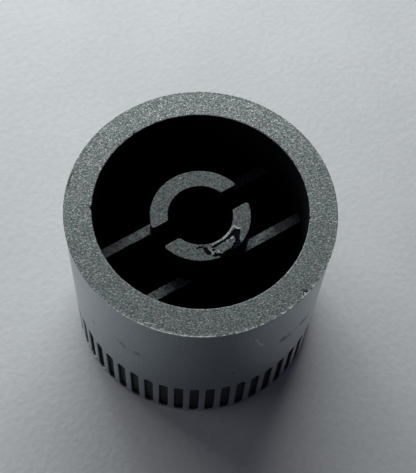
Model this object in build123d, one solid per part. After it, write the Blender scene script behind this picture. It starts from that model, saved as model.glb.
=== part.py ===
"""Control knob: one plastic moulding, open at the back, with grip flutes round its front end.

The knob stands on its plain front face with its open back up. Lengths are in millimetres.
The origin is the centre of the front face, +Z is the shaft's axis and points out of the open
back, and X runs along the slot that splits the hub. The four webs lie parallel to the slot.
"""
import os

from build123d import *

# Outside of the moulding
body_diameter = 25.0
body_height = 21.4
front_edge_chamfer = 0.2
rim_outer_radius = 0.2
rim_inner_radius = 0.15

# Cup inside the skirt
skirt_wall = 2.55
front_wall = 2.6
cup_floor_chamfer = 0.5

# Grip flutes, shallow pockets that stop short of the front face
flute_count = 50
flute_width = 0.9
flute_length = 6.44
flute_depth = 0.4
front_collar = 0.3

# Split hub that grips the shaft
hub_diameter = 9.36
hub_setback = 1.43
hub_edge_radius = 0.15
bore_diameter = 6.06
bore_depth = 15.0
slot_width = 2.04
slot_depth = 11.0
slot_corner_radius = 0.2

# Webs that tie the hub to the skirt
web_thickness = 1.0
web_spacing = 6.26
web_setback = 6.04
web_edge_radius = 0.12

# Heights and radii that follow from the sizes above
body_radius = body_diameter / 2
cup_radius = body_radius - skirt_wall
hub_radius = hub_diameter / 2
bore_radius = bore_diameter / 2
hub_top = body_height - hub_setback
bore_floor = hub_top - bore_depth
slot_floor = hub_top - slot_depth
web_top = body_height - web_setback

# How far a cutter runs past the face it opens, and a web into the wall that carries it
overrun = 1.0
root = 0.4


def corner_at(profile, x, z):
    """The corner of a half section nearest to a radius and a height."""
    return profile.vertices().sort_by_distance((x, 0, z))[0]


def skirt():
    """The outer wall and the front wall, turned from one half section."""
    section = Polyline(
        (0, 0),
        (body_radius, 0),
        (body_radius, body_height),
        (cup_radius, body_height),
        (cup_radius, front_wall),
        (0, front_wall),
        close=True,
    )
    profile = make_face(Plane.XZ * section)
    profile = chamfer(corner_at(profile, body_radius, 0), front_edge_chamfer)
    profile = chamfer(corner_at(profile, cup_radius, front_wall), cup_floor_chamfer)
    profile = fillet(corner_at(profile, body_radius, body_height), rim_outer_radius)
    profile = fillet(corner_at(profile, cup_radius, body_height), rim_inner_radius)
    return revolve(profile, Axis.Z)


def flute_cutters():
    """One pocket cutter for each flute, evenly spaced from +X round the front end."""
    floor_radius = body_radius - flute_depth
    mid_height = front_collar + flute_length / 2
    outline = Plane(origin=(floor_radius, 0, mid_height), x_dir=(0, 1, 0), z_dir=(1, 0, 0))
    pocket = extrude(outline * Rectangle(flute_width, flute_length), flute_depth + overrun)
    return [spot * pocket for spot in PolarLocations(0, flute_count)]


def hub():
    """The shaft socket: a full ring on the front wall, split above it into two C-shaped jaws."""
    ring = Circle(hub_radius) - Circle(bore_radius)
    boss = Pos(0, 0, front_wall) * extrude(Circle(hub_radius), bore_floor - front_wall)
    collar = Pos(0, 0, bore_floor) * extrude(ring, slot_floor - bore_floor)
    jaw_outline = ring - Rectangle(hub_diameter + overrun, slot_width)
    jaw_outline = fillet(jaw_outline.vertices(), slot_corner_radius)
    jaws = Pos(0, 0, slot_floor) * extrude(jaw_outline, slot_depth)
    jaws = fillet(jaws.edges().group_by(Axis.Z)[-1], hub_edge_radius)
    return boss + collar + jaws


def webs():
    """Two parallel pairs of flat webs, each from the hub's outer wall to the skirt."""
    height = web_top - front_wall
    reach = Circle(cup_radius + root) - Circle(hub_radius - root)
    strip = Rectangle(body_diameter, web_thickness)
    walls = Part()
    for side in (-1, 1):
        outline = reach & (Pos(0, side * web_spacing / 2) * strip)
        pair = Pos(0, 0, front_wall) * extrude(outline, height)
        long_edges = pair.edges().filter_by(Axis.X).group_by(Axis.Z)[-1]
        walls += fillet(long_edges, web_edge_radius)
    return walls


def knob_body():
    """The whole moulding as one solid."""
    body = skirt() + hub() + webs()
    return body - flute_cutters()


os.makedirs("parts", exist_ok=True)
export_step(knob_body(), "parts/knob_body.step")
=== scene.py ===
"""A push-on control knob, standing on its front face with its open back up, on a pale table."""
import random

import bmesh
import bpy
from math import atan2, cos, degrees, exp, pi, radians, sin, sqrt
from mathutils import Matrix, Vector, noise


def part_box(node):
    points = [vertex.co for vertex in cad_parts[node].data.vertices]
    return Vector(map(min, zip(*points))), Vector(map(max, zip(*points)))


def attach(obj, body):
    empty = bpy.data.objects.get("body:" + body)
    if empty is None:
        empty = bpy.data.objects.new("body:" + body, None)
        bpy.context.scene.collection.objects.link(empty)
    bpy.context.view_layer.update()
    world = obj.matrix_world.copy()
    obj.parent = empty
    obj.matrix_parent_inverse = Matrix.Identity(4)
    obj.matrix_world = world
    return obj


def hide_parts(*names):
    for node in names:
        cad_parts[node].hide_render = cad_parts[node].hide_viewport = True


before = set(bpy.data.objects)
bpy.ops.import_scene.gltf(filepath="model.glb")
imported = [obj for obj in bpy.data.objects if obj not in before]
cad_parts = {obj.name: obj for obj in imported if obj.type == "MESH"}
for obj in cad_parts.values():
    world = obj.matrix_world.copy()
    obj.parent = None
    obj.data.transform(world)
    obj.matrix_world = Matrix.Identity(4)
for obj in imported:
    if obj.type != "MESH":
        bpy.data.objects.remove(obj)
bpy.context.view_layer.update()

# The outer wall: a plain skirt of black plastic, moulded with short upright flutes round the end
# that the knob stands on. The mould gives every edge a small radius, and paint softens the flutes'
# lips. One flute and the strip of wall above it are drawn, and are set round the axis.

# Sizes of the moulding are in millimetres, and its finished mesh is scaled to metres
MM = 0.001
body_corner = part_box("knob_body")[1]
body_radius = body_corner.x / MM
body_height = body_corner.z / MM
skirt_wall = 2.55
cup_radius = body_radius - skirt_wall
front_edge_radius = 0.2
rim_outer_radius = 0.05
rim_inner_radius = 0.08
strip_depth_inside = 0.8
cup_mouth_height = body_height - strip_depth_inside
weld_distance = 0.0005

flute_count = 50
flute_width = 0.9
flute_length = 6.44
flute_depth = 0.4
flute_start = 0.3
flute_top = flute_start + flute_length
flute_corner = 0.33
flute_pitch = 2 * pi / flute_count

# How deep the wall sinks at each distance from a flute's outline, positive outside it, and the
# distances of the further rows that round the corners of its floor
lip_profile = [(0.08, 0.0), (0.03, 0.06), (0.005, 0.35), (-0.015, 0.8), (-0.04, 0.96), (-0.09, 1.0)]
corner_rows = [-0.16, -0.26, -0.38]
floor_column_inset = 0.2
least_column_gap = 0.02


def quarter_round(radius, steps):
    """Offsets along the two faces of a rounded edge, from the first face to the second."""
    turns = [pi / 2 * k / steps for k in range(steps + 1)]
    return [(radius * (1 - sin(t)), radius * (1 - cos(t))) for t in turns]


def flute_columns():
    """Half of the strip's columns as (distance across, sink), from its middle to its edge."""
    half = flute_width / 2
    edge = body_radius * sin(flute_pitch / 2)
    walls = [(half + off, sink) for off, sink in reversed(lip_profile)]
    return [(0.0, 1.0), (half - floor_column_inset, 1.0)] + walls + [(edge, 0.0)]


def flute_rows():
    """The strip's rows as (height, sink, height into the flute from its nearer end)."""
    ends = lip_profile + [(off, 1.0) for off in corner_rows]
    rows = [(flute_start - off, sink, max(0.0, -off)) for off, sink in ends]
    rows += [(flute_start + flute_length * k / 4, 1.0, flute_corner) for k in (1, 2, 3)]
    rows += [(flute_top + off, sink, max(0.0, -off)) for off, sink in reversed(ends)]
    return rows


def corner_pull(into):
    """How far a flute's side wall bends inwards to round its corners, near either end."""
    if into >= flute_corner:
        return 0.0
    return flute_corner - sqrt(flute_corner ** 2 - (flute_corner - into) ** 2)


def strip_row(point_at):
    """One row of the strip, mirrored about the flute's middle."""
    right = [point_at(k) for k in range(len(columns))]
    left = [(x, -y, z) for x, y, z in reversed(right[1:])]
    return left + right


def fluted_row(height, sink, into):
    """A row that crosses the flute, which is a flat-floored slot with nearly upright walls."""
    pull = corner_pull(into)

    def point(k):
        across, column_sink = columns[k]
        if 0 < k < len(columns) - 1:
            across = max(across - pull, least_column_gap * k)
        wall = sqrt(body_radius ** 2 - across ** 2)
        floor = min(body_radius - flute_depth, wall)
        return (wall + (floor - wall) * column_sink * sink, across, height)

    return strip_row(point)


def plain_row(radius, height):
    """A row of evenly spaced columns at one radius and height."""
    def point(k):
        turn = flute_pitch / 2 * k / (len(columns) - 1)
        return (radius * cos(turn), radius * sin(turn), height)

    return strip_row(point)


columns = flute_columns()
plain_wall_heights = [7.3, 9.0, 11.5, 14.0, 16.5, 19.0]
plain_wall_heights += [body_height - drop for drop in (1.0, 0.3, 0.15)]
rim_radii = [body_radius - inset for inset in (0.12, 0.17, 0.25, 0.6, 1.2, 1.8, 2.2, 2.35)]

strip_rows = []
for rise, inset in reversed(quarter_round(front_edge_radius, 3)[1:]):
    strip_rows.append(plain_row(body_radius - inset, rise))
strip_rows += [fluted_row(*row) for row in flute_rows()]
for height in plain_wall_heights:
    strip_rows.append(plain_row(body_radius, height))
for drop, inset in quarter_round(rim_outer_radius, 4):
    strip_rows.append(plain_row(body_radius - inset, body_height - drop))
for radius in rim_radii:
    strip_rows.append(plain_row(radius, body_height))
for outset, drop in quarter_round(rim_inner_radius, 4):
    strip_rows.append(plain_row(cup_radius + outset, body_height - drop))
for drop in (0.25, strip_depth_inside):
    strip_rows.append(plain_row(cup_radius, body_height - drop))


def grid_mesh(name, rows):
    """A sheet of quads through rows of points, each as long as the next."""
    width = len(rows[0])
    points = [point for row in rows for point in row]
    faces = []
    for r in range(len(rows) - 1):
        for c in range(width - 1):
            a = r * width + c
            faces.append((a, a + 1, a + width + 1, a + width))
    mesh = bpy.data.meshes.new(name)
    mesh.from_pydata(points, [], faces)
    return mesh


def add_node(tree, kind, values=None, **settings):
    """Adds a node to a tree. Values go to its inputs, as links or as plain numbers."""
    node = tree.nodes.new(kind)
    for key, setting in settings.items():
        setattr(node, key, setting)
    for key, value in (values or {}).items():
        if isinstance(value, bpy.types.NodeSocket):
            tree.links.new(value, node.inputs[key])
        else:
            node.inputs[key].default_value = value
    return node


def maths(tree, operation, *values):
    """The result of a Math node."""
    values = dict(enumerate(values))
    return add_node(tree, "ShaderNodeMath", values, operation=operation).outputs[0]


def new_group(name, kind, inputs, outputs):
    """A node group with its named sockets, and its input and output nodes."""
    group = bpy.data.node_groups.new(name, kind)
    for in_out, sockets in (("INPUT", inputs), ("OUTPUT", outputs)):
        for label, socket_type in sockets.items():
            socket_type = "NodeSocket" + socket_type
            group.interface.new_socket(label, in_out=in_out, socket_type=socket_type)
    start = group.nodes.new("NodeGroupInput").outputs
    end = group.nodes.new("NodeGroupOutput").inputs
    return group, start, end


def ring_tree():
    """Geometry Nodes that set copies of a strip round Z and weld them into one wall."""
    inputs = {"Strip": "Geometry", "Count": "Int", "Weld distance": "Float", "Material": "Material"}
    outputs = {"Wall": "Geometry"}
    tree, start, end = new_group("strips_round_the_axis", "GeometryNodeTree", inputs, outputs)
    points = add_node(tree, "GeometryNodePoints", {"Count": start["Count"]})
    index = add_node(tree, "GeometryNodeInputIndex").outputs[0]
    step = maths(tree, "DIVIDE", 2 * pi, start["Count"])
    spin = add_node(tree, "ShaderNodeCombineXYZ", {"Z": maths(tree, "MULTIPLY", index, step)})
    copies = add_node(tree, "GeometryNodeInstanceOnPoints", {
        "Points": points.outputs[0], "Instance": start["Strip"], "Rotation": spin.outputs[0]})
    real = add_node(tree, "GeometryNodeRealizeInstances", {0: copies.outputs[0]})
    weld = add_node(tree, "GeometryNodeMergeByDistance", {
        "Geometry": real.outputs[0], "Distance": start["Weld distance"]})
    paint = add_node(tree, "GeometryNodeSetMaterial", {
        "Geometry": weld.outputs[0], "Material": start["Material"]})
    tree.links.new(paint.outputs[0], end["Wall"])
    return tree


def evaluated_mesh(obj):
    """The object's mesh with its modifiers applied, as a plain mesh."""
    bpy.context.view_layer.update()
    shown = obj.evaluated_get(bpy.context.evaluated_depsgraph_get())
    return bpy.data.meshes.new_from_object(shown)


def place(name, mesh):
    """A new object for a mesh whose place is in its vertices."""
    obj = bpy.data.objects.new(name, mesh)
    bpy.context.scene.collection.objects.link(obj)
    return obj


smooth_paint = bpy.data.materials.new("smooth_grey_paint")

strip = place("wall_strip", grid_mesh("wall_strip", strip_rows))
ring = strip.modifiers.new("ring", "NODES")
ring.node_group = ring_tree()
sockets = {item.name: item.identifier for item in ring.node_group.interface.items_tree}
ring[sockets["Count"]] = flute_count
ring[sockets["Weld distance"]] = weld_distance
ring[sockets["Material"]] = smooth_paint
outer_wall = evaluated_mesh(strip)
bpy.data.objects.remove(strip)

# The side's finish: silver-grey metallic lacquer, sprayed fine and even on the black plastic. It has
# dulled with handling, and carries a few scuffs, dark where they go through to the plastic. The
# flutes' lips carry a painted highlight, and painted light from the table lightens the lands near the
# base.

# A Mix node's sockets for colours, which have the same names as its others
SHARE, FIRST_COLOUR, SECOND_COLOUR, MIXED_COLOUR = 0, 6, 7, 2


def vectors(tree, operation, *values):
    """The outputs of a Vector Math node."""
    values = dict(enumerate(values))
    return add_node(tree, "ShaderNodeVectorMath", values, operation=operation).outputs


def scaled(tree, vector, factor):
    """A vector made longer or shorter."""
    values = {0: vector, "Scale": factor}
    return add_node(tree, "ShaderNodeVectorMath", values, operation="SCALE").outputs[0]


def parts_of(tree, position):
    """A position's X, Y and Z, and its distance from the knob's axis."""
    part = add_node(tree, "ShaderNodeSeparateXYZ", {0: position}).outputs
    flat = add_node(tree, "ShaderNodeCombineXYZ", {0: part["X"], 1: part["Y"]}).outputs[0]
    return part, vectors(tree, "LENGTH", flat)["Value"]


def clamped(tree, value):
    """A value kept between 0 and 1."""
    return maths(tree, "MINIMUM", maths(tree, "MAXIMUM", value, 0.0), 1.0)


def eased(tree, value, low, high, to_low=0.0, to_high=1.0):
    """A smooth step of a value from low to high."""
    return add_node(tree, "ShaderNodeMapRange", {
        "Value": value, "From Min": low, "From Max": high, "To Min": to_low, "To Max": to_high,
    }, interpolation_type="SMOOTHSTEP").outputs[0]


def clouds(tree, position, scale, detail, roughness=0.5):
    """A soft random pattern, about 0.5 in the middle."""
    values = {"Vector": position, "Scale": scale, "Detail": detail, "Roughness": roughness}
    return add_node(tree, "ShaderNodeTexNoise", values).outputs[0]


def varied(tree, value, pattern, amount):
    """A value that a pattern moves up and down."""
    return maths(tree, "MULTIPLY_ADD", maths(tree, "SUBTRACT", pattern, 0.5), amount, value)


def ranged(tree, share, low, high):
    """A number that a share takes from low to high."""
    return maths(tree, "MULTIPLY_ADD", share, high - low, low)


def blended(tree, share, first, second):
    """A colour between two others."""
    first, second = [(*c, 1) if isinstance(c, tuple) else c for c in (first, second)]
    values = {SHARE: share, FIRST_COLOUR: first, SECOND_COLOUR: second}
    return add_node(tree, "ShaderNodeMix", values, data_type="RGBA").outputs[MIXED_COLOUR]


def paint_grain_group():
    """The grain of sprayed metallic paint: soft clumps of tone, and flakes that catch the light."""
    cells_per_grain = 1.1
    cell_core = (0.7, 0.2)
    chance_of_flake = (0.55, 0.95)
    chance_of_pit = (0.4, 0.05)
    flake_rise = 0.5
    pit_darkness = 0.45
    contrast_gain = 2.2
    inputs = {"Position": "Vector", "Grain size": "Float", "Contrast": "Float"}
    outputs = {"Tone": "Float", "Flake": "Float", "Tint": "Float", "Height": "Float"}
    group, start, end = new_group("paint_grain", "ShaderNodeTree", inputs, outputs)
    fineness = maths(group, "DIVIDE", 1.0, start["Grain size"])
    clumps = clouds(group, start["Position"], fineness, detail=2.0, roughness=0.7)
    cell_scale = maths(group, "MULTIPLY", fineness, cells_per_grain)
    cells = add_node(group, "ShaderNodeTexVoronoi", {
        "Vector": start["Position"], "Scale": cell_scale}).outputs
    chances = add_node(group, "ShaderNodeSeparateColor", {0: cells["Color"]}).outputs
    core = eased(group, cells["Distance"], *cell_core)
    flake = maths(group, "MULTIPLY", eased(group, chances[0], *chance_of_flake), core)
    pit = maths(group, "MULTIPLY", eased(group, chances[0], *chance_of_pit), core)
    contrast = maths(group, "MULTIPLY", start["Contrast"], contrast_gain)
    tone = varied(group, 0.5, clumps, contrast)
    tone = maths(group, "MULTIPLY_ADD", pit, -pit_darkness, tone)
    group.links.new(clamped(group, tone), end["Tone"])
    group.links.new(flake, end["Flake"])
    group.links.new(chances[1], end["Tint"])
    group.links.new(maths(group, "MULTIPLY_ADD", flake, flake_rise, clumps), end["Height"])
    return group


def line_wear_and_highlight_group():
    """A ragged mark on a line, whose start, end and width are in millimetres."""
    solid_share = 0.2
    faded_share = 0.7
    broken_specks = (0.56, 0.44)
    inputs = {"Position": "Vector", "Start": "Vector", "End": "Vector"}
    inputs |= {"Width": "Float", "Ragged": "Float"}
    group, start, end = new_group("line_wear_and_highlight", "ShaderNodeTree", inputs, {"Mask": "Float"})
    here = scaled(group, start["Position"], 1 / MM)
    along = vectors(group, "SUBTRACT", start["End"], start["Start"])[0]
    offset = vectors(group, "SUBTRACT", here, start["Start"])[0]
    reach = vectors(group, "DOT_PRODUCT", offset, along)["Value"]
    whole = vectors(group, "DOT_PRODUCT", along, along)["Value"]
    share = clamped(group, maths(group, "DIVIDE", reach, whole))
    away = vectors(group, "DISTANCE", offset, scaled(group, along, share))["Value"]
    tears = clouds(group, here, scale=5.0, detail=3.0)
    distance = varied(group, away, tears, maths(group, "MULTIPLY", start["Ragged"], 2.0))
    inner = maths(group, "MULTIPLY", start["Width"], solid_share)
    outer = maths(group, "MULTIPLY", start["Width"], faded_share)
    near = eased(group, distance, outer, inner)
    specks = clouds(group, here, scale=3.5, detail=4.0)
    missing = maths(group, "MULTIPLY", eased(group, specks, *broken_specks), start["Ragged"])
    kept = maths(group, "MAXIMUM", ranged(group, missing, 1.0, -0.3), 0.0)
    group.links.new(maths(group, "MULTIPLY", near, kept), end["Mask"])
    return group


def edge_wear_and_highlight_group():
    """A broken mask along a round edge, for wear, chips and painted highlights, whose radius, height
    and width are in millimetres.
    """
    solid_share = 0.4
    softness = 0.08
    inputs = {"Position": "Vector", "Radius": "Float", "Height": "Float"}
    inputs |= {"Width": "Float", "Share": "Float"}
    group, start, end = new_group("edge_wear_and_highlight", "ShaderNodeTree", inputs, {"Mask": "Float"})
    here = scaled(group, start["Position"], 1 / MM)
    part, from_axis = parts_of(group, here)
    out = maths(group, "SUBTRACT", from_axis, start["Radius"])
    rise = maths(group, "SUBTRACT", part["Z"], start["Height"])
    squares = [maths(group, "POWER", offset, 2.0) for offset in (out, rise)]
    away = maths(group, "SQRT", maths(group, "ADD", *squares))
    near = eased(group, away, start["Width"], maths(group, "MULTIPLY", start["Width"], solid_share))
    breaks = clouds(group, here, scale=2.2, detail=4.0, roughness=0.7)
    limit = ranged(group, start["Share"], 0.72, 0.32)
    kept = eased(group, breaks, limit, maths(group, "ADD", limit, softness))
    group.links.new(maths(group, "MULTIPLY", near, kept), end["Mask"])
    return group


paint_grain = paint_grain_group()
line_wear_and_highlight = line_wear_and_highlight_group()
edge_wear_and_highlight = edge_wear_and_highlight_group()


def begin(material):
    """The node tree of a material, its shader and the position on the knob that it is read at."""
    material.use_nodes = True
    tree = material.node_tree
    here = add_node(tree, "ShaderNodeTexCoord").outputs["Object"]
    return tree, tree.nodes["Principled BSDF"], here


def use_group(tree, group, values):
    """A node group's outputs, with its inputs given by name."""
    return add_node(tree, "ShaderNodeGroup", values, node_tree=group).outputs


def marks(tree, here, lines):
    """One mask for a list of ragged lines of wear or of painted highlight, each as (start, end, width,
    raggedness, strength).
    """
    mask = None
    for start, end, width, ragged, strength in lines:
        line = use_group(tree, line_wear_and_highlight, {
            "Position": here, "Start": start, "End": end, "Width": width, "Ragged": ragged})["Mask"]
        line = maths(tree, "MULTIPLY", line, strength)
        mask = line if mask is None else maths(tree, "MAXIMUM", mask, line)
    return mask


def add_relief(tree, shader, height, strength, distance):
    """Gives a surface the fine relief of a pattern of heights."""
    bump = add_node(tree, "ShaderNodeBump", {
        "Strength": strength, "Distance": distance, "Height": height})
    tree.links.new(bump.outputs[0], shader.inputs["Normal"])


side_light = (0.31, 0.358, 0.39)
side_dark = (0.195, 0.232, 0.256)
side_scuffed = (0.03, 0.03, 0.036)
side_scratched = (0.6, 0.62, 0.62)
# The colour of the painted highlight on the flutes' lips and of the painted light near the base
side_lip_highlight = (0.52, 0.57, 0.6)
dark_scuffs = [
    ((-11.85, -3.96, 14.0), (-11.6, -4.65, 13.6), 0.6, 0.9, 0.3),
    ((-11.6, -4.65, 13.6), (-11.35, -5.22, 13.05), 0.8, 0.8, 0.45),
    ((-11.5, -4.9, 13.3), (-11.36, -5.21, 13.07), 0.5, 0.2, 0.8),
    ((-11.35, -5.22, 13.05), (-11.1, -5.75, 12.8), 0.9, 0.8, 0.4),
    ((-10.91, -6.1, 13.12), (-10.5, -6.79, 13.1), 0.7, 0.8, 0.45),
    ((-10.78, -6.33, 13.2), (-10.66, -6.53, 13.1), 0.45, 0.2, 0.7),
    ((-12.45, -1.15, 12.1), (-12.44, -1.25, 11.7), 0.4, 0.2, 0.7),
    ((1.7, -12.38, 13.6), (1.86, -12.36, 13.2), 0.9, 0.2, 0.85),
    ((2.35, -12.28, 13.3), (2.5, -12.25, 13.0), 0.9, 0.4, 0.6),
    ((3.6, -11.97, 13.4), (4.1, -11.81, 13.0), 1.0, 0.8, 0.25),
    ((4.4, -11.7, 13.1), (4.55, -11.64, 12.6), 0.8, 0.2, 0.8),
    ((5.0, -11.46, 12.5), (5.2, -11.37, 12.1), 0.9, 0.3, 0.65),
    ((5.4, -11.27, 12.9), (5.55, -11.2, 12.4), 0.8, 0.6, 0.4),
    ((-3.43, -12.02, 10.7), (-3.38, -12.03, 10.3), 0.3, 0.2, 0.7),
]
light_scratches = [
    ((-1.65, -12.39, 17.9), (-1.3, -12.43, 16.6), 0.2, 0.1, 0.7),
    ((-1.3, -12.43, 16.6), (-0.76, -12.48, 15.4), 0.24, 0.2, 1.0),
]

# Where the flutes' lips get a painted highlight, from none to full, by distance from the axis and by
# height, and where painted light from the table lightens the lands near the base.
# Limits that a finish reads off the knob are in metres, as its positions are.
sunk_below_wall = (0.012495, 0.01247)
beside_flutes = (0.0075, 0.007)
near_table = (0.0072, 0.0025)
lip_highlight_patches = (0.35, 0.55)

tree, shader, here = begin(smooth_paint)
grain = use_group(tree, paint_grain, {"Position": here, "Grain size": 0.00018, "Contrast": 1.3})
patches = clouds(tree, here, scale=260.0, detail=3.0)
colour = blended(tree, varied(tree, grain["Tone"], patches, 0.5), side_dark, side_light)
scuffed = marks(tree, here, dark_scuffs)
colour = blended(tree, scuffed, colour, side_scuffed)
colour = blended(tree, marks(tree, here, light_scratches), colour, side_scratched)
part, from_axis = parts_of(tree, here)
# A painted highlight on the flutes' lips, broken up in patches, and painted light from the table on
# the lands near the base
lips = eased(tree, from_axis, *sunk_below_wall)
lips = maths(tree, "MULTIPLY", lips, eased(tree, part["Z"], *beside_flutes))
lips = maths(tree, "MULTIPLY", lips, eased(tree, patches, *lip_highlight_patches, to_low=0.3))
lips = maths(tree, "MAXIMUM", lips, eased(tree, part["Z"], *near_table, to_high=0.4))
colour = blended(tree, lips, colour, side_lip_highlight)
tree.links.new(colour, shader.inputs["Base Color"])
rough = ranged(tree, patches, 0.25, 0.37)
rough = maths(tree, "MULTIPLY_ADD", scuffed, 0.25, rough)
tree.links.new(rough, shader.inputs["Roughness"])
shader.inputs["Metallic"].default_value = 0.75
shader.inputs["Coat Weight"].default_value = 0.35
shader.inputs["Coat Roughness"].default_value = 0.32
relief = maths(tree, "SUBTRACT", grain["Height"], scuffed)
add_relief(tree, shader, relief, strength=0.35, distance=0.00001)

# The rim's finish: the same lacquer, sprayed dry and coarse on the end that the panel hides. Its
# outer edge has a thin broken burr that has rubbed bright, with a painted highlight where it glints,
# its inner edge a thin painted highlight, and there are a few dark marks down to the plastic.
grainy_paint = bpy.data.materials.new("grainy_grey_paint")
rim_dark = (0.058, 0.077, 0.073)
rim_light = (0.178, 0.236, 0.23)
rim_rosy = (0.24, 0.224, 0.23)
rim_flake = (0.31, 0.355, 0.338)
# The rubbed burr's colour, which also stands for its painted highlight and for the thin painted
# highlight on the mouth's edge
rim_wear_and_highlight = (0.44, 0.49, 0.47)
rim_bare = (0.02, 0.022, 0.024)
burr_highlight_lines = [
    ((-10.04, -7.09, body_height), (-9.64, -7.44, body_height), 0.1, 0.03, 0.9),
    ((-9.64, -7.44, body_height), (-9.28, -7.76, body_height), 0.08, 0.05, 0.7),
]
bare_lines = [
    ((-9.34, 8.12, body_height), (-8.65, 8.87, body_height), 0.17, 0.08, 1.0),
    ((-8.65, 8.87, body_height), (-7.93, 9.43, body_height), 0.13, 0.1, 0.9),
    ((3.3, -11.95, body_height - 0.04), (3.75, -11.85, body_height - 0.02), 0.2, 0.08, 1.0),
]
burr_highlight_edge = {"Radius": body_radius + 0.08, "Height": body_height, "Width": 0.08}
mouth_highlight_edge = {
    "Radius": cup_radius + 0.03, "Height": body_height - 0.03, "Width": 0.09, "Share": 0.5}
chipped_edge = {
    "Radius": body_radius - 0.03, "Height": body_height - 0.02, "Width": 0.1, "Share": 0.5}

# Sides of the rim, as directions from the axis in degrees, and how far towards them the grain eases
# off, the burr's rubbed wear and painted highlight begin and grow, and chips grow, from -1 to 1
handled_side = -106
scraped_side = -148
far_side = 50
towards_handled = (-0.8, 0.5)
burr_highlight_begins = (0.15, 0.5)
towards_scraped = (0.78, 0.93)
towards_far = (0.8, 0.93)
rosy_tints = (0.4, 0.7)
# How strong the painted highlight on the mouth's edge is
mouth_highlight_strength = 0.3


def facing(tree, here, side):
    """How far a point of the rim lies towards one of its sides, from -1 to 1."""
    direction = Vector((cos(radians(side)), sin(radians(side)), 0)) / (body_radius * MM)
    return vectors(tree, "DOT_PRODUCT", here, direction)["Value"]


tree, shader, here = begin(grainy_paint)
handled = facing(tree, here, handled_side)
contrast = eased(tree, handled, *towards_handled, to_low=3.2, to_high=1.8)
grain = use_group(tree, paint_grain, {"Position": here, "Grain size": 0.00018, "Contrast": contrast})
mottle = clouds(tree, here, scale=1100.0, detail=2.0)
light = blended(tree, eased(tree, grain["Tint"], *rosy_tints), rim_light, rim_rosy)
colour = blended(tree, varied(tree, grain["Tone"], mottle, 0.6), rim_dark, light)
shine = eased(tree, handled, *towards_handled, to_low=1.0, to_high=0.7)
colour = blended(tree, maths(tree, "MULTIPLY", grain["Flake"], shine), colour, rim_flake)
# The burr's colour: partly rubbed bright and partly a painted highlight where it glints; the mouth's
# edge gets a thin painted highlight
scraped = eased(tree, facing(tree, here, scraped_side), *towards_scraped, to_low=0.6)
burr = use_group(tree, edge_wear_and_highlight, {"Position": here, **burr_highlight_edge, "Share": scraped})["Mask"]
burr = maths(tree, "MULTIPLY", burr, eased(tree, handled, *burr_highlight_begins))
burr = maths(tree, "MAXIMUM", burr, marks(tree, here, burr_highlight_lines))
mouth = use_group(tree, edge_wear_and_highlight, {"Position": here, **mouth_highlight_edge})["Mask"]
bright = maths(tree, "MAXIMUM", burr, maths(tree, "MULTIPLY", mouth, mouth_highlight_strength))
colour = blended(tree, bright, colour, rim_wear_and_highlight)
chips = use_group(tree, edge_wear_and_highlight, {"Position": here, **chipped_edge})["Mask"]
chipped = eased(tree, facing(tree, here, far_side), *towards_far, to_high=0.5)
chips = maths(tree, "MULTIPLY", chips, chipped)
bare = maths(tree, "MAXIMUM", marks(tree, here, bare_lines), chips)
colour = blended(tree, bare, colour, rim_bare)
tree.links.new(colour, shader.inputs["Base Color"])
tree.links.new(ranged(tree, grain["Flake"], 0.5, 0.4), shader.inputs["Roughness"])
tree.links.new(ranged(tree, grain["Flake"], 0.5, 0.7), shader.inputs["Metallic"])
add_relief(tree, shader, grain["Height"], strength=0.5, distance=0.00004)

# The hub: the socket for the shaft, on the knob's axis and in one with the front wall. A slot
# splits all but its foot into two C-shaped jaws, so that they can spread a little on the shaft.
hub_radius = 4.68
hub_setback = 1.43
bore_radius = 3.03
bore_depth = 15
slot_half = 1.02
slot_depth = 11
jaw_corner = 0.25
jaw_edge_radius = 0.06
front_wall = 2.6
sunk = 0.6
hub_top = body_height - hub_setback
bore_floor = hub_top - bore_depth
slot_floor = hub_top - slot_depth

outer_steps = 72
inner_steps = 48
corner_steps = 5
gap_steps = 12
edge_steps = 4


def arc(centre_x, centre_y, radius, start, end, steps):
    """Points along an arc in plan, both ends included."""
    turns = [start + (end - start) * k / steps for k in range(steps + 1)]
    return [(centre_x + radius * cos(t), centre_y + radius * sin(t)) for t in turns]


def jaw_outline(inset, side):
    """One jaw in plan as four runs of points, pulled in by inset. Side is 1 for +Y, -1 for -Y."""
    outer = hub_radius - inset
    inner = bore_radius + inset
    corner = jaw_corner - inset
    level = slot_half + jaw_corner
    outer_x = sqrt((outer - corner) ** 2 - level ** 2)
    inner_x = sqrt((inner + corner) ** 2 - level ** 2)
    outer_turn = atan2(level, outer_x)
    inner_turn = atan2(level, inner_x)
    down = 1.5 * pi
    outer_arc = arc(0, 0, outer, outer_turn, pi - outer_turn, outer_steps)
    left_end = arc(-outer_x, level, corner, pi - outer_turn, down, corner_steps)[1:]
    left_end += arc(-inner_x, level, corner, down, 2 * pi - inner_turn, corner_steps)[:-1]
    inner_arc = arc(0, 0, inner, pi - inner_turn, inner_turn, inner_steps)
    right_end = arc(inner_x, level, corner, pi + inner_turn, down, corner_steps)[1:]
    right_end += arc(outer_x, level, corner, down, 2 * pi + outer_turn, corner_steps)[:-1]
    runs = (outer_arc, left_end, inner_arc, right_end)
    return [[(x * side, y * side) for x, y in run] for run in runs]


def bridge(mesh, lower, upper):
    """Quads between two closed loops of vertices, one above the other."""
    for k in range(len(lower)):
        n = (k + 1) % len(lower)
        mesh.faces.new((lower[k], lower[n], upper[n], upper[k]))


def gap_points(mesh, start, end):
    """Vertices that carry a round wall across the slot, between the two jaws' ends."""
    radius = start.co.xy.length
    first = atan2(start.co.y, start.co.x)
    last = atan2(end.co.y, end.co.x)
    swing = (last - first + pi) % (2 * pi) - pi
    turns = [first + swing * k / gap_steps for k in range(1, gap_steps)]
    return [mesh.verts.new((radius * cos(t), radius * sin(t), slot_floor)) for t in turns]


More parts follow.
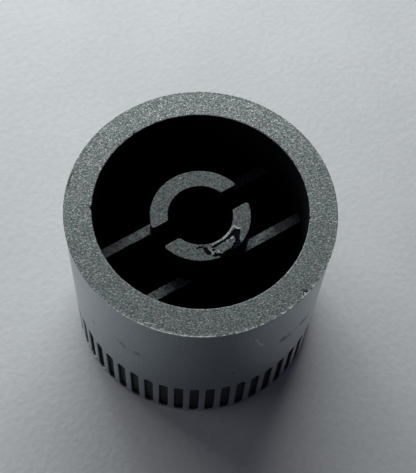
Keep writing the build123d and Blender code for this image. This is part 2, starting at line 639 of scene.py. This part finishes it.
def hub_mesh():
    """The hub as one closed shell, its foot sunk below the cup's floor."""
    mesh = bmesh.new()
    outer_loop = []
    inner_loop = []
    jaws = []
    for side in (1, -1):
        runs = [[mesh.verts.new((x, y, slot_floor)) for x, y in run] for run in jaw_outline(0, side)]
        lower = [vert for run in runs for vert in run]
        for drop, inset in quarter_round(jaw_edge_radius, edge_steps):
            outline = [point for run in jaw_outline(inset, side) for point in run]
            upper = [mesh.verts.new((x, y, hub_top - drop)) for x, y in outline]
            bridge(mesh, lower, upper)
            lower = upper
        mesh.faces.new(lower)
        jaws.append(runs)
    for jaw, other_jaw in (jaws, jaws[::-1]):
        outer_arc, left_end, inner_arc = jaw[:3]
        far_outer_arc, _, far_inner_arc, far_right_end = other_jaw
        outer_gap = gap_points(mesh, outer_arc[-1], far_outer_arc[0])
        inner_gap = gap_points(mesh, inner_arc[0], far_inner_arc[-1])
        outer_loop += outer_arc + outer_gap
        inner_loop += inner_arc[::-1] + inner_gap
        slot_face = [outer_arc[-1]] + outer_gap + [far_outer_arc[0]] + far_right_end[::-1]
        slot_face += [far_inner_arc[-1]] + inner_gap[::-1] + [inner_arc[0]] + left_end[::-1]
        mesh.faces.new(slot_face)
    foot = [mesh.verts.new((v.co.x, v.co.y, front_wall - sunk)) for v in outer_loop]
    bridge(mesh, foot, outer_loop)
    mesh.faces.new(foot)
    pit = [mesh.verts.new((v.co.x, v.co.y, bore_floor)) for v in inner_loop]
    bridge(mesh, pit, inner_loop)
    mesh.faces.new(pit)
    return mesh


def to_object(name, mesh):
    """Turns a working mesh into an object, its faces turned outwards, and frees it."""
    bmesh.ops.recalc_face_normals(mesh, faces=mesh.faces)
    if mesh.calc_volume(signed=True) < 0:
        bmesh.ops.reverse_faces(mesh, faces=mesh.faces)
    data = bpy.data.meshes.new(name)
    mesh.to_mesh(data)
    mesh.free()
    return place(name, data)


hub = to_object("hub", hub_mesh())

# The hub's torn patch: the end of one jaw is broken, as by a shaft that was levered out. Its outlines
# are drawn in plan and sunk into the jaw's end as shallow ragged pits, deeper at the outer edge.

# Each pit is (depth, outline)
torn_pits = [
    (0.1, [
        (-0.77, -3.26), (-0.32, -3.23), (0.21, -3.25), (0.66, -3.21), (1.12, -3.09), (1.46, -2.98),
        (1.83, -2.82), (2.0, -2.78), (2.15, -2.96), (2.35, -3.11), (2.25, -3.38), (2.01, -3.65),
        (1.82, -3.93), (1.78, -4.16), (1.69, -4.41), (1.75, -4.62), (1.3, -4.8), (0.7, -4.92),
        (0.0, -4.97), (-0.6, -4.92), (-0.62, -4.6), (-0.78, -4.42), (-1.08, -4.28), (-1.24, -4.1),
        (-1.01, -4.03), (-0.81, -3.99), (-0.72, -4.14), (-0.54, -4.2), (-0.4, -4.4), (-0.11, -4.27),
        (0.15, -4.28), (0.41, -4.3), (0.72, -4.24), (0.94, -4.14), (1.01, -4.0), (1.29, -3.93),
        (1.46, -3.76), (1.46, -3.53), (1.52, -3.37), (1.24, -3.33), (1.05, -3.43), (0.71, -3.4),
        (0.24, -3.46), (-0.21, -3.5), (-0.7, -3.49), (-0.9, -3.41),
    ]),
    (0.32, [
        (1.72, -4.42), (1.37, -4.5), (1.02, -4.5), (0.7, -4.46), (0.31, -4.42), (-0.01, -4.42),
        (-0.39, -4.6), (-0.64, -4.78), (0.0, -5.1), (0.9, -5.0), (1.8, -4.7),
    ]),
    (0.07, [
        (-1.55, -2.9), (-1.25, -3.07), (-1.22, -3.39), (-1.15, -3.71), (-1.25, -3.98),
        (-1.55, -3.86), (-1.62, -3.55), (-1.63, -3.24),
    ]),
    (0.06, [
        (-2.12, -2.74), (-1.79, -2.66), (-1.42, -2.84), (-1.51, -2.97), (-1.84, -2.84), (-2.12, -2.88),
    ]),
    (0.06, [(-0.99, -3.49), (-0.81, -3.55), (-0.65, -3.73), (-0.75, -3.83), (-0.97, -3.7)]),
]
deepest_tear = max(depth for depth, outline in torn_pits)
tear_step = 0.11
tear_jitter = 0.035
cutter_rise = 0.3
random.seed(7)


def ragged(outline):
    """An outline with points a short step apart, each moved a little at random."""
    points = []
    for (x0, y0), (x1, y1) in zip(outline, outline[1:] + outline[:1]):
        pieces = max(1, round(sqrt((x1 - x0) ** 2 + (y1 - y0) ** 2) / tear_step))
        for k in range(pieces):
            x = x0 + (x1 - x0) * k / pieces + random.uniform(-tear_jitter, tear_jitter)
            y = y0 + (y1 - y0) * k / pieces + random.uniform(-tear_jitter, tear_jitter)
            points.append((x, y))
    return points


def pit_mesh(depth, outline):
    """A pit as a closed prism, from its floor to above the jaw's end."""
    mesh = bmesh.new()
    loops = []
    for z in (hub_top - depth, hub_top + cutter_rise):
        loops.append([mesh.verts.new((x, y, z)) for x, y in outline])
    bridge(mesh, loops[0], loops[1])
    mesh.faces.new(loops[0])
    mesh.faces.new(loops[1])
    return mesh


def cut_from(body, cutters):
    """Cuts bodies out of another one and gives what is left as a mesh. All of them are removed."""
    for cutter in cutters:
        cut = body.modifiers.new("cut", "BOOLEAN")
        cut.operation = "DIFFERENCE"
        cut.solver = "EXACT"
        cut.object = cutter
    left = evaluated_mesh(body)
    for used in [body] + cutters:
        bpy.data.objects.remove(used)
    return left


pits = [to_object("pit", pit_mesh(depth, ragged(outline))) for depth, outline in torn_pits]
hub = place("hub", cut_from(hub, pits))

# The finish of the hub's and the webs' ends: the rim's coarse paint, thinner and darker, because
# less of the spray reached down there. It fades towards the skirt, where painted shade darkens it
# too, and its torn edges carry painted highlights.
worn_paint = bpy.data.materials.new("thin_worn_paint")
thin_dark = (0.023, 0.032, 0.031)
thin_light = (0.108, 0.154, 0.15)
thin_rosy = (0.138, 0.14, 0.142)
thin_flake = (0.19, 0.23, 0.225)
web_light = (0.21, 0.26, 0.25)
# The colour of the painted highlights on the torn edges
torn_edge_highlight = (0.37, 0.43, 0.42)
# The colour of thinner spray with painted shade on the webs' ends near the skirt
thin_spray_and_shade = (0.012, 0.012, 0.018)

# Painted highlights along the torn edges on the jaws' ends, as (start, end, width, raggedness,
# strength) in plan
torn_edge_highlights = [
    ((2.04, -2.5), (1.35, -2.86), 0.11, 0.12, 0.75),
    ((1.35, -2.86), (0.65, -3.09), 0.14, 0.22, 1.0),
    ((0.65, -3.09), (-0.58, -3.16), 0.13, 0.22, 0.95),
    ((2.08, -2.5), (2.18, -2.84), 0.14, 0.03, 1.0),
    ((2.18, -2.84), (2.42, -3.0), 0.12, 0.04, 1.0),
    ((-1.15, -3.3), (-1.04, -3.7), 0.09, 0.02, 0.45),
    ((-1.04, -3.7), (-1.1, -4.0), 0.09, 0.02, 0.6),
    ((-1.04, -3.86), (-0.6, -3.78), 0.09, 0.02, 0.45),
    ((-0.53, -3.98), (-0.49, -4.08), 0.14, 0.02, 0.9),
    ((0.71, -3.5), (0.76, -3.57), 0.12, 0.02, 0.7),
    ((1.18, -3.47), (1.38, -3.45), 0.15, 0.03, 1.0),
    ((2.02, -3.6), (1.9, -4.1), 0.1, 0.05, 0.35),
    ((0.36, 4.33), (0.42, 4.27), 0.1, 0.02, 1.0),
]
torn_highlight_lines = [((*start, hub_top), (*end, hub_top), *rest) for start, end, *rest in torn_edge_highlights]

# Where the paint changes from the hub's to the webs', by height, and where the webs' ends darken
# towards the skirt, from thinner spray and painted shade, by distance from the axis and by how far
# along -X and -Y, in metres
hub_to_web = (0.018, 0.016)
fading_out = (0.0063, 0.0075)
shaded_side = (-0.009, -0.005)

tree, shader, here = begin(worn_paint)
grain = use_group(tree, paint_grain, {"Position": here, "Grain size": 0.0002, "Contrast": 2.3})
part, from_axis = parts_of(tree, here)
on_web = eased(tree, part["Z"], *hub_to_web)
light = blended(tree, eased(tree, grain["Tint"], *rosy_tints), thin_light, thin_rosy)
light = blended(tree, on_web, light, web_light)
patches = clouds(tree, here, scale=1600.0, detail=2.0)
tone = varied(tree, grain["Tone"], patches, ranged(tree, on_web, 0.5, 2.1))
colour = blended(tree, tone, thin_dark, light)
colour = blended(tree, maths(tree, "MULTIPLY", grain["Flake"], 0.6), colour, thin_flake)
# The webs' ends darken towards the skirt, partly from thinner spray and partly with painted shade,
# except on the web towards -X and -Y
blotches = clouds(tree, here, scale=900.0, detail=4.0)
faded = eased(tree, varied(tree, from_axis, blotches, 0.006), *fading_out)
across = maths(tree, "ADD", part["X"], part["Y"])
faded = maths(tree, "MULTIPLY", faded, eased(tree, across, *shaded_side, to_high=0.7))
colour = blended(tree, faded, colour, thin_spray_and_shade)
# Painted highlights along the torn edges
torn = marks(tree, here, torn_highlight_lines)
colour = blended(tree, torn, colour, torn_edge_highlight)
tree.links.new(colour, shader.inputs["Base Color"])
tree.links.new(ranged(tree, torn, 0.6, 0.4), shader.inputs["Roughness"])
shader.inputs["Metallic"].default_value = 0.25
add_relief(tree, shader, grain["Height"], strength=0.5, distance=0.00003)

# The webs: two parallel pairs of flat walls, moulded with the hub and the skirt, that tie the one
# to the other. They lie along the slot and stop well below the rim.
web_setback = 6.04
web_half = 0.5
web_offset = 3.13
web_edge_radius = 0.06
web_inner_end = 2.85
web_root = 0.25
web_top = body_height - web_setback
web_outer_end = cup_radius + web_root


def web_mesh(side_x, side_y):
    """One web as a closed prism with rounded top edges, rooted in the hub and in the skirt."""
    section = [(-web_half, front_wall - sunk)]
    for drop, inset in quarter_round(web_edge_radius, edge_steps):
        section.append((-web_half + inset, web_top - drop))
    section += [(-across, height) for across, height in reversed(section)]
    mesh = bmesh.new()
    ends = []
    for x in (web_inner_end, web_outer_end):
        ends.append([mesh.verts.new((x * side_x, side_y * web_offset + y, z)) for y, z in section])
    bridge(mesh, ends[0], ends[1])
    mesh.faces.new(ends[0])
    mesh.faces.new(ends[1])
    return mesh


webs = []
for side_x in (-1, 1):
    for side_y in (-1, 1):
        webs.append(to_object("web", web_mesh(side_x, side_y)))

# The cup: the space inside the skirt. It is drawn as a closed body of the cup's own shape, the hub
# and the webs are cut out of it, and what is left of its skin is the inside of the moulding.
floor_corner = 0.5
cup_wall_heights = [cup_mouth_height, 18.6, 16.6, 14.0, 10.0, 6.0]


def cup_mesh():
    """The cup's space, turned, with as many columns as the wall that it joins at its mouth."""
    steps = flute_count * 2 * (len(columns) - 1)
    levels = [(cup_radius, height) for height in cup_wall_heights]
    for rise, inset in quarter_round(floor_corner, 3):
        levels.append((cup_radius - inset, front_wall + rise))
    mesh = bmesh.new()
    loops = []
    for radius, height in levels:
        ring = arc(0, 0, radius, 0, 2 * pi, steps)[:-1]
        loops.append([mesh.verts.new((x, y, height)) for x, y in ring])
    for upper, lower in zip(loops, loops[1:]):
        bridge(mesh, lower, upper)
    mesh.faces.new(loops[0])
    mesh.faces.new(loops[-1])
    return mesh


inside = cut_from(to_object("cup", cup_mesh()), [hub] + webs)

# The bare moulding: black plastic with the faint unevenness of its mould, inside the cup where no
# paint reached. It is rough where the jaw is torn, and charcoal in the flutes, under a grey haze.


def bare_surface(name, grain_size, contrast, dark, light):
    """Begins a bare surface, whose colour runs from dark to light over its grain."""
    material = bpy.data.materials.new(name)
    tree, shader, here = begin(material)
    grain = use_group(tree, paint_grain, {
        "Position": here, "Grain size": grain_size, "Contrast": contrast})
    tree.links.new(blended(tree, grain["Tone"], dark, light), shader.inputs["Base Color"])
    return material, tree, shader, grain


plastic_black = (0.004, 0.005, 0.006)
plastic_worn = (0.01, 0.011, 0.013)
plastic, tree, shader, grain = bare_surface("black_plastic", 0.0004, 0.8, plastic_black, plastic_worn)
tree.links.new(ranged(tree, grain["Tone"], 0.55, 0.7), shader.inputs["Roughness"])
shader.inputs["Specular IOR Level"].default_value = 0.1
add_relief(tree, shader, grain["Height"], strength=0.25, distance=0.00001)

torn_black = (0.001, 0.001, 0.002)
torn_blue = (0.007, 0.008, 0.014)
torn_plastic, tree, shader, grain = bare_surface("torn_plastic", 0.00025, 1.2, torn_black, torn_blue)
shader.inputs["Roughness"].default_value = 0.9
shader.inputs["Specular IOR Level"].default_value = 0.05
add_relief(tree, shader, grain["Height"], strength=1.0, distance=0.00005)

haze_dark = (0.004, 0.005, 0.006)
haze_light = (0.068, 0.082, 0.087)
charcoal, tree, shader, grain = bare_surface("charcoal_flutes", 0.0003, 2.4, haze_dark, haze_light)
tree.links.new(ranged(tree, grain["Tone"], 0.5, 0.65), shader.inputs["Roughness"])
shader.inputs["Specular IOR Level"].default_value = 0.2
add_relief(tree, shader, grain["Height"], strength=0.4, distance=0.00002)

# The whole moulding: the outer wall and the inside are welded at the cup's mouth, and the plain
# front face closes the end that it stands on.

# How near to a surface still counts as on it
margin = 0.01

shell = bmesh.new()
shell.from_mesh(inside)
lids = [f for f in shell.faces if abs(f.calc_center_median().z - cup_mouth_height) < margin]
bmesh.ops.delete(shell, geom=lids, context="FACES_ONLY")
shell.from_mesh(outer_wall)
bmesh.ops.remove_doubles(shell, verts=shell.verts, dist=weld_distance)
open_rim = [e for e in shell.edges if e.is_boundary]
bmesh.ops.contextual_create(shell, geom=[e for e in open_rim if e.verts[0].co.z < margin])

# The rim's wear: its outer edge carries a thin burr that flares outwards, highest on the side that
# was handled most. Its inner edge is a little chipped, and small nicks are struck into both.
worn_depth = 0.3
burr_height = 0.06
burr_radius = body_radius - 0.01
burr_width = 0.05
burr_lean = 0.6
flare_reach = 0.15
flare_width = 0.06
flare_depth = 0.12
chip_reach = 0.04
chip_width = 0.08
inner_edge = cup_radius + 0.02
outer_edge = body_radius - 0.05

# How the rim was handled: everywhere a little, and more on two sides, as (angle, width, strength)
least_handled = 0.3
handled_zones = [(handled_side, 60, 0.7), (far_side, 25, 0.3)]

# Waves of unevenness round the rim, each as (frequency, strength, shift)
burr_share = 0.35
burr_waves = [(45, 1.0, (0, 0, 0)), (110, 0.6, (3, 1, 2))]
chip_waves = [(22, 1.0, (5, 5, 5)), (60, 0.5, (0, 0, 0))]

# Each nick is (angle, radius, width, depth), and is struck down and into the wall
nicks = [
    (149.4, inner_edge, 0.14, 0.16),
    (97.6, inner_edge, 0.12, 0.12),
    (-36.6, inner_edge, 0.12, 0.12),
    (-73.5, outer_edge, 0.16, 0.14),
]
strike_down = Vector((0, 0, -0.8))
strike_in = 0.6


def bell(distance, width, power=2):
    """A smooth bump, 1 at no distance and next to nothing at twice its width."""
    return exp(-(distance / width) ** power)


def handling(turn):
    """How much the rim was handled at an angle in degrees, at most 1."""
    more = [strength * bell(turn - side, width, power=4) for side, width, strength in handled_zones]
    return least_handled + sum(more)


def unevenness(outward, waves):
    """A random rise or fall, at a direction from the axis."""
    total = 0.0
    for frequency, strength, shift in waves:
        total += strength * noise.noise(outward * frequency + Vector(shift))
    return total


for vert in shell.verts:
    x, y, z = vert.co
    radius = sqrt(x * x + y * y)
    if z < body_height - worn_depth or radius < cup_radius - margin:
        continue
    turn = atan2(y, x)
    outward = Vector((cos(turn), sin(turn), 0))
    handled = handling(degrees(turn))
    burr = burr_height * handled * max(0.0, burr_share + unevenness(outward, burr_waves))
    flare = bell(radius - body_radius, flare_width) * bell(z - body_height, flare_depth)
    chip = max(0.0, unevenness(outward, chip_waves)) * bell(radius - cup_radius, chip_width)
    vert.co.z += burr * bell(radius - burr_radius, burr_width)
    vert.co += outward * ((flare_reach * handled + burr_lean * burr) * flare + chip_reach * chip)
    for angle, at_radius, width, depth in nicks:
        at = Vector((at_radius * cos(radians(angle)), at_radius * sin(radians(angle)), body_height))
        into_wall = strike_in if at_radius == inner_edge else -strike_in
        vert.co += (outward * into_wall + strike_down) * depth * bell((vert.co - at).length, width)

# Which finish each face has, by how deep it lies below the knob's side and below its tops
side_finish_depth = 0.12
flute_finish_depth = 0.5
side_below_rim = 0.06
rim_finish_depth = 0.1
jaw_finish_depth = 0.04
web_finish_depth = 0.06
steepest_web_edge = 0.3
SMOOTH, GRAINY, BARE, WORN, CHARCOAL, TORN = range(6)


def finish_of(face):
    """The finish of a face, as the number of its material."""
    x, y, z = face.center
    radius = sqrt(x * x + y * y)
    below_rim = body_height - z
    below_jaw = hub_top - z
    on_side = body_radius - radius < side_finish_depth and below_rim > side_below_rim
    in_flute = body_radius - radius < flute_finish_depth and z < flute_top
    on_rim = radius > cup_radius - margin and below_rim < rim_finish_depth
    on_hub = radius < hub_radius + margin
    in_tear = below_jaw < deepest_tear + margin and abs(y) > slot_half + margin
    on_web_top = abs(z - web_top) < web_finish_depth and face.normal.z > steepest_web_edge
    if on_side or z < margin:
        return SMOOTH
    if in_flute:
        return CHARCOAL
    if on_rim:
        return GRAINY
    if on_hub and below_jaw < jaw_finish_depth:
        return WORN
    if on_hub and in_tear:
        return TORN
    if on_web_top:
        return WORN
    return BARE


knob = to_object("knob_moulding", shell)
knob.data.materials.clear()
for material in (smooth_paint, grainy_paint, plastic, worn_paint, charcoal, torn_plastic):
    knob.data.materials.append(material)
for face in knob.data.polygons:
    face.use_smooth = True
    face.material_index = finish_of(face)
knob.data.set_sharp_from_angle(angle=radians(35))
shading = knob.modifiers.new("flat faces stay flat", "WEIGHTED_NORMAL")
shading.keep_sharp = True
smoothed = evaluated_mesh(knob)
bpy.data.objects.remove(knob)
knob = place("knob_moulding", smoothed)
knob.data.transform(Matrix.Scale(MM, 4))
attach(knob, "root")
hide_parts("knob_body")

# The table: a large sheet of plain pale paper, laid flat, with a fine tooth and faint clouds in
# its tone.
table_half = 1
paper_dark = (0.642, 0.68, 0.691)
paper_light = (0.698, 0.735, 0.741)
sides = (-table_half, table_half)
table = place("table", grid_mesh("table", [[(x, y, 0) for x in sides] for y in sides]))
paper = bpy.data.materials.new("pale_paper")
tree, shader, here = begin(paper)
fibres = clouds(tree, here, scale=1500.0, detail=3.0)
cloudy = clouds(tree, here, scale=70.0, detail=4.0)
tone = maths(tree, "MULTIPLY", maths(tree, "ADD", fibres, cloudy), 0.5)
colour = blended(tree, eased(tree, tone, 0.35, 0.65), paper_dark, paper_light)
tree.links.new(colour, shader.inputs["Base Color"])
shader.inputs["Roughness"].default_value = 0.9
add_relief(tree, shader, fibres, strength=0.5, distance=0.0001)
table.data.materials.append(paper)

# The light: a soft window behind the knob, a pale wall and a dim room to the left of it, and a
# faint violet light from all round.
camera_azimuth = radians(-35.58)
camera_turn = Matrix.Rotation(camera_azimuth, 4, "Z")
lit_spot = Vector((0, 0, 0.01))
room_colour = (0.62, 0.58, 0.83, 1)
room_strength = 0.052


def area_light(name, offset, size, power):
    """A soft white light, placed as seen from the camera's side: x right, y away, z up."""
    lamp = bpy.data.lights.new(name, "AREA")
    lamp.shape = "RECTANGLE"
    lamp.size, lamp.size_y = size
    lamp.energy = power
    obj = bpy.data.objects.new(name, lamp)
    bpy.context.scene.collection.objects.link(obj)
    obj.location = camera_turn @ Vector(offset)
    obj.rotation_euler = (lit_spot - obj.location).to_track_quat("-Z", "Y").to_euler()


area_light("window", offset=(-0.012, 0.145, 0.137), size=(0.16, 0.1), power=0.27)
area_light("left_wall", offset=(-0.131, 0.131, 0.075), size=(0.13, 0.1), power=0.17)
area_light("left_room", offset=(-0.183, -0.032, 0.075), size=(0.13, 0.1), power=0.045)
room = bpy.data.worlds.new("room")
bpy.context.scene.world = room
room.use_nodes = True
background = room.node_tree.nodes["Background"]
background.inputs["Color"].default_value = room_colour
background.inputs["Strength"].default_value = room_strength
bpy.context.scene.view_settings.view_transform = "Standard"

# The camera, from where the photograph was taken
elevation = radians(63.8)
roll = radians(4.356)
distance = 103.4 * MM
shift_right = 0.842 * MM
shift_up = -2.559 * MM
lens_px = 1133
image_height_px = 473
right = Vector((cos(camera_azimuth), sin(camera_azimuth), 0))
towards_camera = Vector((sin(camera_azimuth), -cos(camera_azimuth), 0))
back = towards_camera * cos(elevation) + Vector((0, 0, sin(elevation)))
up = back.cross(right)
camera_data = bpy.data.cameras.new("camera")
camera_data.sensor_fit = "VERTICAL"
camera_data.sensor_height = 24
camera_data.lens = camera_data.sensor_height * lens_px / image_height_px
camera_data.clip_start = 0.005
camera = bpy.data.objects.new("camera", camera_data)
bpy.context.scene.collection.objects.link(camera)
rim_centre = Vector((0, 0, body_corner.z))
seen_from = rim_centre + back * distance + right * shift_right + up * shift_up
tilted_right = right * cos(roll) + up * sin(roll)
tilted_up = up * cos(roll) - right * sin(roll)
facing_knob = Matrix((tilted_right, tilted_up, back)).transposed().to_4x4()
camera.matrix_world = Matrix.Translation(seen_from) @ facing_knob
bpy.context.scene.camera = camera
